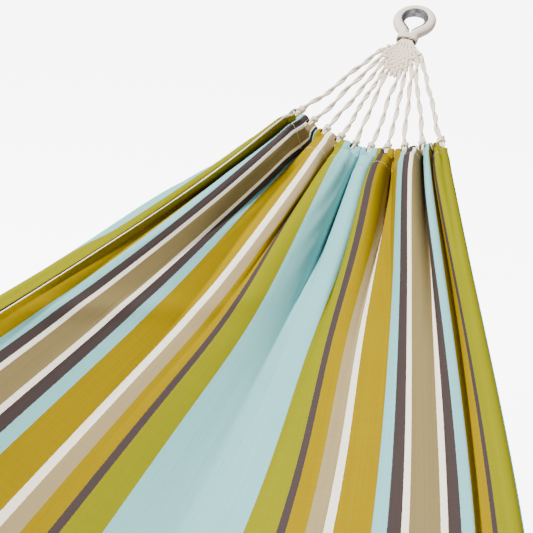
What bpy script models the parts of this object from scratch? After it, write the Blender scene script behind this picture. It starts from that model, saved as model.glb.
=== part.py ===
"""Fabric hammock hung by a rope harness at each end, as it hangs empty between two hooks of equal height.

The origin is the seat of the head hook. X runs along the hammock, with the bed on the -X side.
+Z is up.
"""

import math

import bmesh
import bpy
import numpy as np
from mathutils import Matrix, Vector

# Whole hammock, in metres and radians
HANG_ANGLE = math.radians(30)
CLOTH_LENGTH = 2.10
HARNESS_LENGTH = 0.50
FIT_GAP = 0.0003
ROPE_BEVEL_LEVEL = 2
SHARP_EDGE_ANGLE = math.radians(50)

# Bed cross-section: half the girth of the trough and the slope at its edges, at a hem and in the middle
HEM_HALF_GIRTH = 0.19
MIDDLE_HALF_GIRTH = 0.52
HEM_EDGE_SLOPE = 0.26
MIDDLE_EDGE_SLOPE = 0.62
TROUGH_ROUNDNESS = 0.4
HEM_BOW = 0.03
HEM_BOW_FADE = 3
SPREAD_POWER = 1.4
SLOPE_POWER = 6.0
GIRTH_STEPS = 32
CLOTH_THICKNESS = 0.003
PLEAT_COUNT = 10
PLEAT_DEPTH = 0.012
PLEAT_RUN = 0.28
CELLS_PER_PLEAT = 4
CELLS_ALONG = 16
CROWDING_TO_HEMS = 1 / 3
SELVAGE_RADIUS = 0.005
SELVAGE_CLEARANCE = 0.0015
SELVAGE_BASE = 0.1

# End hem: a sewn channel round the hem rope
HEM_ROPE_RADIUS = 0.004
HEM_WALL = 0.002
HEM_SECTIONS = 22
HEM_SIDES = 12
HEM_END_SHARE = 0.985
HEM_CLEARANCE = 0.003
HEM_TANGENT_STEP = 0.01
BORE_OVERCUT = 0.05

# Harness cords
CORD_COUNT = 10
CORD_RADIUS = 0.0045
CORD_SPREAD = 0.93
CORD_LOOP_TURN = math.radians(250)
CORD_LOOP_PITCH = 0.0105
CORD_RUN_POINTS = 4
CORD_LOOP_POINTS = 7
CORD_SAG = 0.006
CORD_STANDOFF = 0.008
SLOT_HALF_WIDTH = 0.0075
SLOT_BACK = 0.002
SLOT_OVERCUT = 0.003

# Eye: a served rope round a steel thimble, closed by a whipping
EYE_ROPE_RADIUS = 0.012
EYE_RADIUS = 0.040
EYE_ARC = math.radians(118)
EYE_ARC_POINTS = 15
EYE_FLANK_POINTS = 7
EYE_FLANK_HANDLE = 0.42
THIMBLE_WALL = 0.002
THIMBLE_GAP = 0.0012
THIMBLE_WRAP = math.radians(62)
THIMBLE_WRAP_STEPS = 4
NECK_START = 0.084
WHIPPING_LENGTH = 0.018
WHIPPING_TURNS = 5
WHIPPING_WALL = 0.0022
WHIPPING_RIDGE = 0.0012
WHIPPING_CORNER_STEPS = 5

# Plaited clew: distances down the harness, half widths and half thicknesses
CLEW_STUB_CLEARANCE = 0.003
CLEW_WAIST = 0.012
CLEW_SHOULDER = 0.046
CLEW_LENGTH = 0.114
CLEW_STUB_HALF_WIDTH = 0.007
CLEW_WAIST_HALF_WIDTH = 0.024
CLEW_SHOULDER_HALF_WIDTH = 0.055
CLEW_TIP_HALF_WIDTH = 0.010
CLEW_HALF_THICKNESS = 0.010
CLEW_EDGE_HALF_THICKNESS = 0.005
CLEW_EDGE_ROUNDNESS = 4
CLEW_STUB_FULLNESS = 0.9
CLEW_ROWS = 18
CLEW_COLUMNS = 12
STRAND_RELIEF = 0.0014

# Worked out from the values above
UPHILL = Vector((math.cos(HANG_ANGLE), 0, math.sin(HANG_ANGLE)))
LOOP_STEP = CORD_LOOP_TURN / (CORD_LOOP_POINTS - 1)
LOOP_RADIUS = (HEM_ROPE_RADIUS + CORD_RADIUS + 2 * FIT_GAP) / math.cos(LOOP_STEP / 2)
HEM_CHANNEL_RADIUS = (LOOP_RADIUS + CORD_RADIUS + 2 * FIT_GAP) / math.cos(math.pi / HEM_SIDES)
HEM_OUTER_RADIUS = HEM_CHANNEL_RADIUS + HEM_WALL
CATENARY = CLOTH_LENGTH / 2 / math.tan(HANG_ANGLE)
BED_HALF_RUN = CATENARY * math.asinh(math.tan(HANG_ANGLE))
BED_SAG = CATENARY / math.cos(HANG_ANGLE) - CATENARY
HALF_SPAN = HARNESS_LENGTH * math.cos(HANG_ANGLE) + BED_HALF_RUN
BED_LOW = -HARNESS_LENGTH * math.sin(HANG_ANGLE) - BED_SAG
THIMBLE_BACK = EYE_ROPE_RADIUS + THIMBLE_GAP
EYE_TOP = -(THIMBLE_BACK + THIMBLE_WALL)
EYE_CENTRE = EYE_TOP + EYE_RADIUS
LEG_OFFSET = EYE_ROPE_RADIUS + FIT_GAP / 2
NECK_END = NECK_START + WHIPPING_LENGTH
CLEW_START = NECK_END + CLEW_STUB_CLEARANCE


def clear_scene():
    for old in list(bpy.data.objects):
        bpy.data.objects.remove(old, do_unlink=True)


def material(name, colour, roughness, metallic=0.0):
    made = bpy.data.materials.new(name)
    made.use_nodes = True
    shader = made.node_tree.nodes["Principled BSDF"]
    shader.inputs["Base Color"].default_value = (*colour, 1.0)
    shader.inputs["Roughness"].default_value = roughness
    shader.inputs["Metallic"].default_value = metallic
    return made


def add_object(name, data, finish, parent=None):
    made = bpy.data.objects.new(name, data)
    bpy.context.scene.collection.objects.link(made)
    made.parent = parent
    if data is not None:
        data.materials.append(finish)
    return made


def rounded_mesh(name, points, faces):
    """A mesh with its faces turned outwards and its round forms shaded smooth."""
    mesh = bpy.data.meshes.new(name)
    mesh.from_pydata([tuple(p) for p in points], [], faces)
    shape = bmesh.new()
    shape.from_mesh(mesh)
    bmesh.ops.recalc_face_normals(shape, faces=shape.faces)
    shape.to_mesh(mesh)
    shape.free()
    mesh.shade_smooth()
    mesh.set_sharp_from_angle(angle=SHARP_EDGE_ANGLE)
    return mesh


def loft(name, rings, capped=True):
    """Skin equal closed rings in turn, with a face over each end unless the rings close on themselves."""
    count = len(rings[0])
    spans = len(rings) - 1 if capped else len(rings)
    faces = []
    for i in range(spans):
        low = i * count
        high = (i + 1) % len(rings) * count
        for j in range(count):
            after = (j + 1) % count
            faces.append((low + j, low + after, high + after, high + j))
    if capped:
        faces.append(tuple(range(count))[::-1])
        faces.append(tuple(range(len(rings) * count - count, len(rings) * count)))
    return rounded_mesh(name, [p for ring in rings for p in ring], faces)


def rope(name, path, radius, finish, parent=None):
    """A round rope along a path, with flat ends."""
    curve = bpy.data.curves.new(name, "CURVE")
    curve.dimensions = "3D"
    curve.bevel_depth = radius
    curve.bevel_resolution = ROPE_BEVEL_LEVEL
    curve.use_fill_caps = True
    line = curve.splines.new("POLY")
    line.points.add(len(path) - 1)
    for point, place in zip(line.points, path):
        point.co = (*place, 1.0)
    line.use_smooth = True
    return add_object(name, curve, finish, parent)


def end_frame(end):
    """An empty at the end's hook: its X runs up the harness, and its Z stands off the fan of cords."""
    made = add_object(end + "_frame", None, None)
    hook = Matrix.Identity(4)
    if end == "foot":
        hook = Matrix.Translation((-2 * HALF_SPAN, 0, 0)) @ Matrix.Rotation(math.pi, 4, "Z")
    made.matrix_world = hook @ Matrix.Rotation(-HANG_ANGLE, 4, "Y")
    return made


# Bed

def bed_point(across, along, pleated=True):
    """The cloth's middle surface: across runs -1 to 1 between the edges, along from the head hem."""
    from_middle = CLOTH_LENGTH / 2 - along
    x = CATENARY * math.asinh(from_middle / CATENARY) - HALF_SPAN
    z = math.hypot(CATENARY, from_middle) - CATENARY + BED_LOW
    nearness = 1 - abs(from_middle) / (CLOTH_LENGTH / 2)
    spread = 1 - (1 - nearness) ** SPREAD_POWER
    opened = 1 - (1 - nearness) ** SLOPE_POWER
    girth = HEM_HALF_GIRTH + (MIDDLE_HALF_GIRTH - HEM_HALF_GIRTH) * spread
    edge_slope = HEM_EDGE_SLOPE + (MIDDLE_EDGE_SLOPE - HEM_EDGE_SLOPE) * opened
    share = (np.arange(GIRTH_STEPS) + 0.5) / GIRTH_STEPS * abs(across)
    slope = edge_slope * share ** TROUGH_ROUNDNESS
    y = math.copysign(girth * np.cos(slope).mean() * abs(across), across)
    z += girth * np.sin(slope).mean() * abs(across)
    bow = HEM_BOW * across**2 * (1 - nearness) ** HEM_BOW_FADE
    toward_end = math.copysign(1, from_middle)
    x += toward_end * bow * math.cos(HANG_ANGLE)
    z += bow * math.sin(HANG_ANGLE)
    if pleated:
        wave = math.sin(math.pi * PLEAT_COUNT * (across + 1))
        run = min(along, CLOTH_LENGTH - along) / PLEAT_RUN
        lift = PLEAT_DEPTH * wave * math.exp(-(run**2))
        slope_here = math.atan(from_middle / CATENARY)
        x -= lift * math.sin(slope_here)
        z += lift * math.cos(slope_here)
    return Vector((x, y, z))


def bed_stations():
    """Distances from the head hem, closer together near the hems where the pleats fade fastest."""
    even = np.linspace(-1, 1, CELLS_ALONG + 1)
    crowded = np.sin(even * math.pi / 2)
    place = even + (crowded - even) * CROWDING_TO_HEMS
    return [float(v) for v in (1 + place) * CLOTH_LENGTH / 2]


def bed_cloth(finish):
    """The woven bed: a thin sheet with shallow pleats that die out away from the hems."""
    columns = PLEAT_COUNT * CELLS_PER_PLEAT
    points = [
        bed_point(2 * j / columns - 1, along)
        for along in bed_stations()
        for j in range(columns + 1)
    ]
    width = columns + 1
    faces = [
        (i * width + j, i * width + j + 1, (i + 1) * width + j + 1, (i + 1) * width + j)
        for i in range(CELLS_ALONG)
        for j in range(columns)
    ]
    made = add_object("bed_cloth", rounded_mesh("bed_cloth", points, faces), finish)
    skin = made.modifiers.new("cloth thickness", "SOLIDIFY")
    skin.thickness = CLOTH_THICKNESS
    skin.offset = 0


def selvage(name, side, finish):
    """The rolled and sewn edge of the bed, lying just outside the cloth's edge."""
    path = []
    for along in bed_stations():
        edge = bed_point(side, along, pleated=False)
        inner = bed_point(side * (1 - SELVAGE_BASE), along, pleated=False)
        outward = Vector((0, edge.y - inner.y, edge.z - inner.z)).normalized()
        path.append(edge + outward * (SELVAGE_RADIUS + SELVAGE_CLEARANCE))
    rope(name, path, SELVAGE_RADIUS, finish)


# End hem and harness cords, in world coordinates worked out for the head end

def hem_point(across):
    """The axis of the hem rope, just beyond the end of the bed."""
    return bed_point(across, 0, pleated=False) + UPHILL * (HEM_OUTER_RADIUS + HEM_CLEARANCE)


def hem_tangent(across):
    ahead = hem_point(across + HEM_TANGENT_STEP)
    return (ahead - hem_point(across - HEM_TANGENT_STEP)).normalized()


def hem_frame(across):
    """The hem's run, the way up the harness square to it, and the way off the cloth's upper face."""
    run = hem_tangent(across)
    uphill = (UPHILL - run * UPHILL.dot(run)).normalized()
    return run, uphill, uphill.cross(run)


def half_turn_to_foot(points, end):
    """Points worked out at the head end, as they lie at the given end."""
    if end == "head":
        return points
    return [Vector((-2 * HALF_SPAN - p.x, -p.y, p.z)) for p in points]


def hem_stations():
    return np.linspace(-HEM_END_SHARE, HEM_END_SHARE, HEM_SECTIONS)


def channel_rings(radius, share_limit):
    """Rings of a tube round the hem rope, out to the same share of the width at both sides."""
    rings = []
    for across in np.linspace(-share_limit, share_limit, HEM_SECTIONS):
        centre = hem_point(across)
        run, uphill, off = hem_frame(across)
        ring = []
        for k in range(HEM_SIDES):
            turn = 2 * math.pi * k / HEM_SIDES
            ring.append(centre + (uphill * math.cos(turn) + off * math.sin(turn)) * radius)
        rings.append(ring)
    return rings


def slot_cutter(end, across):
    """A block that opens the hem where a cord goes in beside the hem rope."""
    centre = hem_point(across)
    run, uphill, off = hem_frame(across)
    corners = []
    for u in (-SLOT_BACK, 2 * HEM_OUTER_RADIUS):
        for o in (LOOP_RADIUS - SLOT_HALF_WIDTH, HEM_OUTER_RADIUS + SLOT_OVERCUT):
            for r in (-SLOT_HALF_WIDTH, SLOT_HALF_WIDTH):
                corners.append(centre + uphill * u + off * o + run * r)
    corners = half_turn_to_foot(corners, end)
    order = [0, 1, 3, 2, 4, 5, 7, 6]
    rings = [[corners[k] for k in order[:4]], [corners[k] for k in order[4:]]]
    return loft("slot", rings)


def cut(target, cutter_mesh, name, finish):
    tool = add_object(name, cutter_mesh, finish)
    tool.hide_render = True
    tool.display_type = "WIRE"
    hole = target.modifiers.new(name, "BOOLEAN")
    hole.operation = "DIFFERENCE"
    hole.solver = "EXACT"
    hole.object = tool


def joined(meshes):
    """One mesh that holds several separate closed shapes."""
    shape = bmesh.new()
    for mesh in meshes:
        shape.from_mesh(mesh)
    whole = bpy.data.meshes.new("joined")
    shape.to_mesh(whole)
    shape.free()
    return whole


def cord_shares():
    return [CORD_SPREAD * (2 * j / (CORD_COUNT - 1) - 1) for j in range(CORD_COUNT)]


def end_hem(end, finish):
    """The sewn channel at the end of the bed: an open fabric tube with a slot for each cord."""
    tube_rings = channel_rings(HEM_OUTER_RADIUS, HEM_END_SHARE)
    rings = [half_turn_to_foot(ring, end) for ring in tube_rings]
    tube = add_object(end + "_hem", loft(end + "_hem", rings), finish)
    long_bore = channel_rings(HEM_CHANNEL_RADIUS, HEM_END_SHARE + BORE_OVERCUT)
    bore = [half_turn_to_foot(ring, end) for ring in long_bore]
    cut(tube, loft("bore", bore), end + "_hem_bore", finish)
    slots = joined([slot_cutter(end, across) for across in cord_shares()])
    cut(tube, slots, end + "_hem_slots", finish)


def hem_rope(end, finish):
    path = [hem_point(across) for across in hem_stations()]
    rope(end + "_hem_rope", half_turn_to_foot(path, end), HEM_ROPE_RADIUS, finish)


def harness_point(down, across, off=0.0):
    """A point of the head harness: metres down from the hook, across, and off the plane of the fan."""
    tilt = Matrix.Rotation(-HANG_ANGLE, 3, "Y")
    return tilt @ Vector((-down, across, off))


def cord_exit(share):
    """Where a cord leaves the clew's edge: the outer cords leave high and the inner ones near the tip."""
    reach = abs(share) / CORD_SPREAD
    down = CLEW_START + CLEW_LENGTH + (CLEW_SHOULDER - CLEW_LENGTH) * reach
    half_width = CLEW_TIP_HALF_WIDTH + (CLEW_SHOULDER_HALF_WIDTH - CLEW_TIP_HALF_WIDTH) * reach
    return down, math.copysign(half_width, share)


def harness_cord(end, number, finish):
    """A cord from the clew into its slot and once round the hem rope."""
    share = cord_shares()[number - 1]
    down, aside = cord_exit(share)
    start = harness_point(down, aside)
    centre = hem_point(share)
    run, uphill, off = hem_frame(share)
    landing = centre + off * LOOP_RADIUS
    way = (landing - start).normalized()
    start = start + way * CORD_STANDOFF
    path = []
    for k in range(CORD_RUN_POINTS):
        part = k / CORD_RUN_POINTS
        sag = Vector((0, 0, -CORD_SAG * math.sin(math.pi * part)))
        path.append(start.lerp(landing, part) + sag)
    for k in range(CORD_LOOP_POINTS):
        turn = LOOP_STEP * k
        round_rope = off * math.cos(turn) - uphill * math.sin(turn)
        along_rope = run * (CORD_LOOP_PITCH * turn / (2 * math.pi))
        path.append(centre + round_rope * LOOP_RADIUS + along_rope)
    name = f"{end}_cord_{number:02d}"
    rope(name, half_turn_to_foot(path, end), CORD_RADIUS, finish)


# Eye, thimble, whipping and clew, in the end's own frame: -X runs down the harness

def eye_half_path():
    """One side of the teardrop from its top to the neck: an arc, then a flank that bends into the leg."""
    arc = []
    for k in range(EYE_ARC_POINTS):
        turn = EYE_ARC * k / (EYE_ARC_POINTS - 1)
        down = EYE_CENTRE - EYE_RADIUS * math.cos(turn)
        arc.append(Vector((down, EYE_RADIUS * math.sin(turn))))
    leave = Vector((math.sin(EYE_ARC), math.cos(EYE_ARC)))
    neck = Vector((NECK_START, LEG_OFFSET))
    reach = (neck - arc[-1]).length
    flank = []
    for k in range(1, EYE_FLANK_POINTS + 1):
        t = k / EYE_FLANK_POINTS
        handle_out = arc[-1] + leave * reach * EYE_FLANK_HANDLE
        handle_in = neck - Vector((reach * EYE_FLANK_HANDLE, 0))
        flank.append(
            arc[-1] * (1 - t) ** 3
            + handle_out * 3 * t * (1 - t) ** 2
            + handle_in * 3 * t**2 * (1 - t)
            + neck * t**3
        )
    return arc + flank


def eye_path():
    half = eye_half_path()
    legs = [Vector((NECK_END, LEG_OFFSET))]
    side = half + legs
    other = [Vector((p.x, -p.y)) for p in side[1:]]
    return other[::-1] + side


def eye_rope(end, finish, frame):
    path = [(-p.x, p.y, 0) for p in eye_path()]
    rope(end + "_eye_rope", path, EYE_ROPE_RADIUS, finish, frame)


def thimble(end, finish, frame):
    """A bent steel channel that lines the eye, cupped to the rope all the way round."""
    path = eye_path()[2:-2]
    rings = []
    for i in range(1, len(path) - 1):
        ahead = (path[i + 1] - path[i - 1]).normalized()
        inward = Vector((-ahead.y, ahead.x))
        if inward.dot(Vector((EYE_CENTRE, 0)) - path[i]) < 0:
            inward = -inward
        ring = []
        for radius, sense in ((THIMBLE_BACK, 1), (THIMBLE_BACK + THIMBLE_WALL, -1)):
            for k in range(THIMBLE_WRAP_STEPS):
                turn = sense * THIMBLE_WRAP * (2 * k / (THIMBLE_WRAP_STEPS - 1) - 1)
                place = path[i] + inward * radius * math.cos(turn)
                ring.append((-place.x, place.y, radius * math.sin(turn)))
        rings.append(ring)
    add_object(end + "_thimble", loft(end + "_thimble", rings), finish, frame)


def stadium(half_gap, radius):
    """A closed outline round the eye's two legs: two half circles joined by flats."""
    outline = []
    for sense in (1, -1):
        for k in range(WHIPPING_CORNER_STEPS + 1):
            turn = -math.pi / 2 + math.pi * k / WHIPPING_CORNER_STEPS
            y = sense * (half_gap + radius * math.cos(turn))
            outline.append((y, sense * radius * math.sin(turn)))
    return outline


def whipping(end, finish, frame):
    """Twine wound round both legs of the eye: a band with a ridge for each turn."""
    bore = (EYE_ROPE_RADIUS + FIT_GAP) / math.cos(math.pi / 2 / WHIPPING_CORNER_STEPS)
    levels = 2 * WHIPPING_TURNS
    profile = []
    for k in range(levels + 1):
        ridge = WHIPPING_RIDGE * (k % 2)
        profile.append((NECK_START + WHIPPING_LENGTH * k / levels, bore + WHIPPING_WALL + ridge))
    profile.append((NECK_END, bore))
    profile.append((NECK_START, bore))
    rings = []
    for down, radius in profile:
        rings.append([(-down, y, z) for y, z in stadium(LEG_OFFSET, radius)])
    add_object(end + "_whipping", loft(end + "_whipping", rings, capped=False), finish, frame)


def clew_half_width(below):
    stops = (0, CLEW_WAIST, CLEW_SHOULDER, CLEW_LENGTH)
    widths = (
        CLEW_STUB_HALF_WIDTH,
        CLEW_WAIST_HALF_WIDTH,
        CLEW_SHOULDER_HALF_WIDTH,
        CLEW_TIP_HALF_WIDTH,
    )
    return float(np.interp(below, stops, widths))


def clew(end, finish, frame):
    """The plaited body of the clew: a crossing stands up where its strand passes over and sinks where it
    passes under, and the next row and column do the opposite, as in a basket weave."""
    rings = []
    for i in range(CLEW_ROWS + 1):
        below = CLEW_LENGTH * i / CLEW_ROWS
        half_width = clew_half_width(below)
        fullness = min(1.0, half_width / CLEW_WAIST_HALF_WIDTH)
        stub = CLEW_STUB_HALF_WIDTH * CLEW_STUB_FULLNESS
        middle = max(stub, CLEW_HALF_THICKNESS * fullness)
        front = []
        back = []
        for j in range(CLEW_COLUMNS + 1):
            share = 2 * j / CLEW_COLUMNS - 1
            over = STRAND_RELIEF * fullness * (-1) ** (i + j)
            bulge = (middle - CLEW_EDGE_HALF_THICKNESS) * (1 - share**CLEW_EDGE_ROUNDNESS)
            thick = CLEW_EDGE_HALF_THICKNESS + bulge
            front.append((-(CLEW_START + below), half_width * share, thick + over))
            back.append((-(CLEW_START + below), half_width * share, -thick + over))
        rings.append(front + back[::-1])
    add_object(end + "_clew", loft(end + "_clew", rings), finish, frame)


def build():
    clear_scene()
    cotton_rope = material("cotton_rope", (0.72, 0.66, 0.58), 0.85)
    served_rope = material("served_rope", (0.66, 0.60, 0.53), 0.80)
    steel = material("thimble_steel", (0.35, 0.35, 0.36), 0.30, 1.0)
    cloth = material("striped_cloth", (0.42, 0.60, 0.62), 0.90)
    hem_cloth = material("hem_cloth", (0.62, 0.46, 0.04), 0.90)
    bed_cloth(cloth)
    selvage("left_selvage", 1, cloth)
    selvage("right_selvage", -1, cloth)
    for end in ("head", "foot"):
        frame = end_frame(end)
        thimble(end, steel, frame)
        eye_rope(end, served_rope, frame)
        whipping(end, cotton_rope, frame)
        clew(end, cotton_rope, frame)
        for number in range(1, CORD_COUNT + 1):
            harness_cord(end, number, cotton_rope)
        hem_rope(end, cotton_rope)
        end_hem(end, hem_cloth)


build()
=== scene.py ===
"""A striped cotton hammock on a rope harness at each end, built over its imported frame, in metres.

The origin is the seat of the head hook, X runs along the hammock with the bed on the -X side, and +Z is up.
"""
import math

import bpy
import numpy as np
from mathutils import Matrix, Vector


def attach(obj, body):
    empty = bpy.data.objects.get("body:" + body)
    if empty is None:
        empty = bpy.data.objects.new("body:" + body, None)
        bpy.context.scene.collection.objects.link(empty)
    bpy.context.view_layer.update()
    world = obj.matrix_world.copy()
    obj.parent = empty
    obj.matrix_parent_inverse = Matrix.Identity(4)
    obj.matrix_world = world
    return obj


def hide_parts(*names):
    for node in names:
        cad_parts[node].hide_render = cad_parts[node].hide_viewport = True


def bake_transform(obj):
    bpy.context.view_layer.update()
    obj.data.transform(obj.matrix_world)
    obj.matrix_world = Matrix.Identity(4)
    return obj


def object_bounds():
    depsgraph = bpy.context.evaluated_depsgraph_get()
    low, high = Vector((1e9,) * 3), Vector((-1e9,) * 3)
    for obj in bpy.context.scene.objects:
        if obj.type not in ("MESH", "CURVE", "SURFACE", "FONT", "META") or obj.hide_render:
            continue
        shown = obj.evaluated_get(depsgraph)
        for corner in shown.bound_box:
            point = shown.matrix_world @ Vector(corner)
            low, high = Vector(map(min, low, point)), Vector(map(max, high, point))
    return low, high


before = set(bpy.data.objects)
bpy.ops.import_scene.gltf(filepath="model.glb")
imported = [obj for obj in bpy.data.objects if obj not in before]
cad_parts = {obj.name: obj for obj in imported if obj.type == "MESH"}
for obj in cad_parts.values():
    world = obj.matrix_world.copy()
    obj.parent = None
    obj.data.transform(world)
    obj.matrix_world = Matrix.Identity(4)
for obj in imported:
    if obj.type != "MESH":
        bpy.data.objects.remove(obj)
cad_low, cad_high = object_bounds()

# The hang: the hammock hangs empty between two hooks of one height. Its harness pulls at 30 degrees below
# level at both ends, and the bed between them follows a chain's curve.
HANG_ANGLE = math.radians(30)
CLOTH_LENGTH = 2.10
HARNESS_LENGTH = 0.50
CATENARY = CLOTH_LENGTH / 2 / math.tan(HANG_ANGLE)
HALF_SPAN = HARNESS_LENGTH * math.cos(HANG_ANGLE) + CATENARY * math.asinh(math.tan(HANG_ANGLE))
BED_LOW = -HARNESS_LENGTH * math.sin(HANG_ANGLE) - CATENARY / math.cos(HANG_ANGLE) + CATENARY
UPHILL = np.array([math.cos(HANG_ANGLE), 0.0, math.sin(HANG_ANGLE)])
OFF_FAN = np.array([-math.sin(HANG_ANGLE), 0.0, math.cos(HANG_ANGLE)])
ACROSS = np.array([0.0, 1.0, 0.0])


def harness_point(down, across=0.0, off=0.0):
    """Points of the head harness: down from the hook, across it, and off the plane of its fan."""
    down, across, off = np.broadcast_arrays(*(np.asarray(v, float)[..., None] for v in (down, across, off)))
    return -down * UPHILL + across * ACROSS + off * OFF_FAN


def lie_at(end, points):
    """Points worked out at the head, as they lie at either end: the foot is the head turned half round."""
    if end == "head":
        return points
    return points * [-1, -1, 1] - [2 * HALF_SPAN, 0, 0]


def unit(vectors):
    return vectors / np.maximum(np.linalg.norm(vectors, axis=-1, keepdims=True), 1e-12)


def smooth_step(value):
    value = np.clip(value, 0, 1)
    return value * value * (3 - 2 * value)


# Cotton: every piece but the thimble is spun cotton. Fine loose fibres roughen it, and its tone drifts a
# little from place to place, because the yarn is not dyed or spun quite evenly.
FIBRE_SIZE = 900.0
DRIFT_SIZE = 14.0


def put(tree, kind, settings=None, **inputs):
    """A node with its own settings, and with values or other nodes' outputs on its inputs."""
    made = tree.nodes.new(kind)
    for name, value in (settings or {}).items():
        setattr(made, name, value)
    for name, value in inputs.items():
        socket = made.inputs[int(name[1:])] if name[0] == "_" else made.inputs[name.replace("_", " ")]
        if isinstance(value, bpy.types.NodeSocket):
            tree.links.new(value, socket)
        else:
            socket.default_value = value
    return made


def new_group(name, inputs, outputs):
    """An empty node group with named inputs and outputs, and its two end nodes."""
    tree = bpy.data.node_groups.new(name, "ShaderNodeTree")
    for label, kind, value in inputs:
        made = tree.interface.new_socket(label, in_out="INPUT", socket_type=kind)
        if value is not None:
            made.default_value = value
    for label, kind in outputs:
        tree.interface.new_socket(label, in_out="OUTPUT", socket_type=kind)
    return tree, tree.nodes.new("NodeGroupInput").outputs, tree.nodes.new("NodeGroupOutput").inputs


FLOAT, VECTOR = "NodeSocketFloat", "NodeSocketVector"

fibre, given, result = new_group(
    "cotton fibre",
    [("Fuzz", FLOAT, 0.10), ("Drift", FLOAT, 0.12)],
    [("Shade", FLOAT), ("Height", FLOAT)],
)
place = put(fibre, "ShaderNodeTexCoord").outputs["Object"]
fine = put(fibre, "ShaderNodeTexNoise", Vector=place, Scale=FIBRE_SIZE, Detail=2.0).outputs["Fac"]
broad = put(fibre, "ShaderNodeTexNoise", Vector=place, Scale=DRIFT_SIZE, Detail=3.0).outputs["Fac"]
fine_off = put(fibre, "ShaderNodeMath", {"operation": "SUBTRACT"}, _0=fine, _1=0.5).outputs[0]
broad_off = put(fibre, "ShaderNodeMath", {"operation": "SUBTRACT"}, _0=broad, _1=0.5).outputs[0]
fuzz = put(fibre, "ShaderNodeMath", {"operation": "MULTIPLY"}, _0=fine_off, _1=given["Fuzz"]).outputs[0]
shade = put(
    fibre, "ShaderNodeMath", {"operation": "MULTIPLY_ADD"}, _0=broad_off, _1=given["Drift"], _2=fuzz
).outputs[0]
shade = put(fibre, "ShaderNodeMath", {"operation": "ADD"}, _0=shade, _1=1.0).outputs[0]
fibre.links.new(shade, result["Shade"])
fibre.links.new(fine, result["Height"])

# Laid yarn: a strand is twisted from many yarns, which show as fine slanting lines along it, with painted
# shade in the grooves between them. The strand's map runs along it in metres and once round it from 0 to 1.
laid, given, result = new_group(
    "laid yarn",
    [("Pitch", FLOAT, 0.004), ("Yarns", FLOAT, 5.0), ("Depth", FLOAT, 0.25)],
    [("Shade", FLOAT), ("Height", FLOAT)],
)
spread = put(laid, "ShaderNodeSeparateXYZ", Vector=put(laid, "ShaderNodeUVMap").outputs[0]).outputs
length_turns = put(
    laid, "ShaderNodeMath", {"operation": "DIVIDE"}, _0=spread[0], _1=given["Pitch"]
).outputs[0]
round_turns = put(
    laid, "ShaderNodeMath", {"operation": "MULTIPLY_ADD"}, _0=spread[1], _1=given["Yarns"], _2=length_turns
).outputs[0]
phase = put(
    laid, "ShaderNodeMath", {"operation": "MULTIPLY"}, _0=round_turns, _1=math.pi
).outputs[0]
wave = put(laid, "ShaderNodeMath", {"operation": "SINE"}, _0=phase).outputs[0]
ridge = put(laid, "ShaderNodeMath", {"operation": "ABSOLUTE"}, _0=wave).outputs[0]
# Painted shade: the colour is darkened in the grooves between the yarns, by up to Depth.
dip = put(laid, "ShaderNodeMath", {"operation": "SUBTRACT"}, _0=ridge, _1=1.0).outputs[0]
painted_groove_shade = put(
    laid, "ShaderNodeMath", {"operation": "MULTIPLY_ADD"}, _0=dip, _1=given["Depth"], _2=1.0
).outputs[0]
laid.links.new(painted_groove_shade, result["Shade"])
laid.links.new(ridge, result["Height"])


def cotton(name, colour, pitch, yarns, depth=0.25, fuzz=0.12, drift=0.12, relief=0.0004):
    """A matt spun cotton: painted shade darkens the grooves between its laid yarns, its fibres vary its
    tone at random, and both stand up from it as bumps.
    """
    made = bpy.data.materials.new(name)
    made.use_nodes = True
    tree = made.node_tree
    shader = tree.nodes["Principled BSDF"]
    yarn = put(tree, "ShaderNodeGroup", {"node_tree": laid}, Pitch=pitch, Yarns=yarns, Depth=depth).outputs
    fuzzy = put(tree, "ShaderNodeGroup", {"node_tree": fibre}, Fuzz=fuzz, Drift=drift).outputs
    both = put(
        tree, "ShaderNodeMath", {"operation": "MULTIPLY"}, _0=yarn["Shade"], _1=fuzzy["Shade"]
    ).outputs[0]
    dye_with_painted_shade = put(tree, "ShaderNodeVectorMath", {"operation": "SCALE"}, _0=colour[:3], Scale=both).outputs[0]
    tree.links.new(dye_with_painted_shade, shader.inputs["Base Color"])
    hairs, ridges = fuzzy["Height"], yarn["Height"]
    height = put(
        tree, "ShaderNodeMath", {"operation": "MULTIPLY_ADD"}, _0=hairs, _1=0.35, _2=ridges
    ).outputs[0]
    bump = put(tree, "ShaderNodeBump", Height=height, Distance=relief, Strength=0.8)
    tree.links.new(bump.outputs[0], shader.inputs["Normal"])
    shader.inputs["Roughness"].default_value = 0.88
    shader.inputs["Specular IOR Level"].default_value = 0.25
    shader.inputs["Sheen Weight"].default_value = 0.15
    return made


# Eyes: each end hangs from a teardrop eye of thick cotton rope, bent round a galvanised steel thimble. The
# rope is served, that is, wound tightly all along with thin cotton line, so that the hook can't chafe it.
EYE_ROPE_RADIUS = 0.012
EYE_RADIUS = 0.040
EYE_ARC = math.radians(118)
EYE_TOP = -0.0152
EYE_CENTRE = EYE_TOP + EYE_RADIUS
NECK_START = 0.084
NECK_END = 0.102
LEG_OFFSET = 0.01215
FLANK_HANDLE = 0.42
SERVING_PITCH = 0.0030
SERVING_RIDGE = 0.00045
SERVED_ROPE = (0.84, 0.71, 0.58, 1)
EYE_PLUMPNESS = 0.0012
PLUMP_FADE = 0.03
EYE_SIDES = 32


def grid_faces(rows, columns, joined):
    """Four-sided faces over rows of points, joined from the last column back to the first or not."""
    last = columns if joined else columns - 1
    row, column = np.meshgrid(np.arange(rows - 1), np.arange(last), indexing="ij")
    after = (column + 1) % columns
    here, below = row * columns, (row + 1) * columns
    return np.stack([here + column, here + after, below + after, below + column], axis=-1).reshape(-1, 4)


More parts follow.
